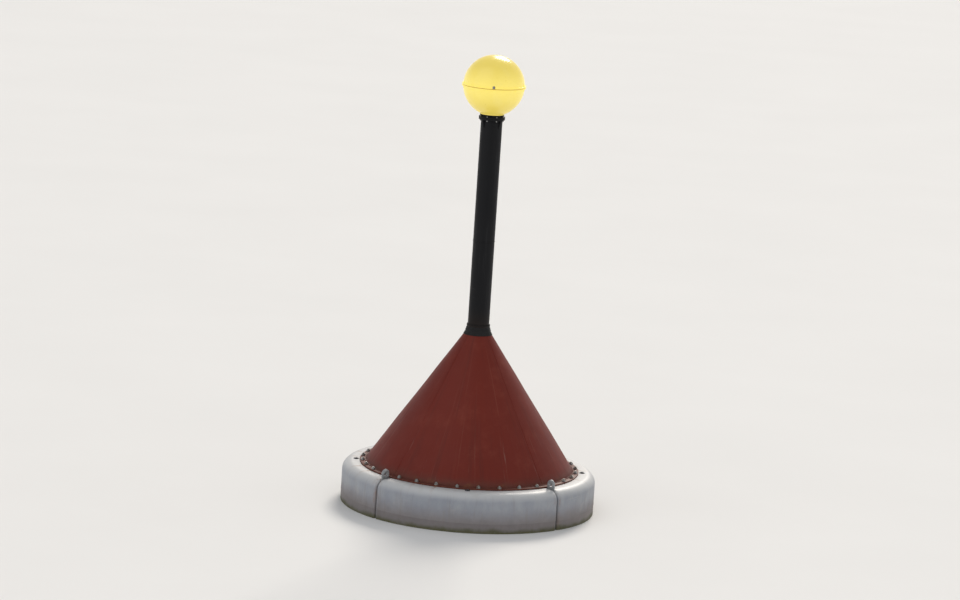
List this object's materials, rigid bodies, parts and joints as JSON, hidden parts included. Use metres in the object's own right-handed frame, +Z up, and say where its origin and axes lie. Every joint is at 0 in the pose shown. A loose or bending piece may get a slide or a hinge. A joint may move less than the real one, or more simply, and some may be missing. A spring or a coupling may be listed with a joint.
{
  "type": "lighted conical navigation buoy",
  "caption": "Lighted conical navigation buoy: round white float, dark red conical tower with a door, black mast, yellow globe lantern that opens, and a weighted tail with a mooring shackle.",
  "frame": {"origin": "on the buoy's axis at its loaded waterline", "axes": "+Z up along the mast, +Y towards the tower's door, +X to the right when seen from the plain side (from -Y)"},
  "size_m": [1.7996, 1.7996, 4.729],
  "materials": {
    "float": "satin",
    "galvanised": "matte",
    "cast": "matte",
    "anode": "matte",
    "tower": "satin",
    "black": "satin",
    "globe": "gloss",
    "lamp": "gloss",
    "battery": "matte",
    "rubber": "matte"
  },
  "bodies": {
    "hull": {"float_front": "float", "float_right": "float", "float_back": "float", "float_left": "float", "core_tube": "galvanised", "radial_fins": "galvanised", "lifting_lugs": "galvanised", "deck_plate": "galvanised", "bottom_clamp": "galvanised", "counterweight": "cast", "weight_collar": "galvanised", "anodes": "anode", "mooring_eye": "galvanised", "tower_flange": "tower", "tower_cone": "tower", "door_frame": "tower", "tower_collar": "rubber", "door_hinge_brackets": "tower", "mast_foot": "black", "mast_tube": "black", "mast_head": "black", "battery_box_left": "battery", "battery_box_right": "battery", "lantern_base": "black", "lantern_bowl": "globe", "lamp_stand": "galvanised", "lamp_head": "lamp"},
    "door": {"tower_door": "tower", "door_hinge_leaves": "tower", "door_handles": "black"},
    "dome": {"lantern_dome": "globe", "lantern_clip": "black"},
    "shackle": {"shackle_bow": "galvanised", "shackle_pin": "galvanised"}
  },
  "joints": [
    {"name": "tower_door_hinge", "type": "hinge", "parent": "hull", "child": "door", "pos_m": [-0.22442, 0.50406, 0.58615], "axis": [0.2274, -0.5108, 0.829], "range_deg": [0, 110]},
    {"name": "lantern_dome_hinge", "type": "hinge", "parent": "hull", "child": "dome", "pos_m": [0, 0.238, 3.01], "axis": [-1, 0, 0], "range_deg": [0, 100]},
    {"name": "mooring_shackle_swing", "type": "hinge", "parent": "hull", "child": "shackle", "pos_m": [0, 0, -1.345], "axis": [0, 1, 0], "range_deg": [-80, 80]}
  ]
}
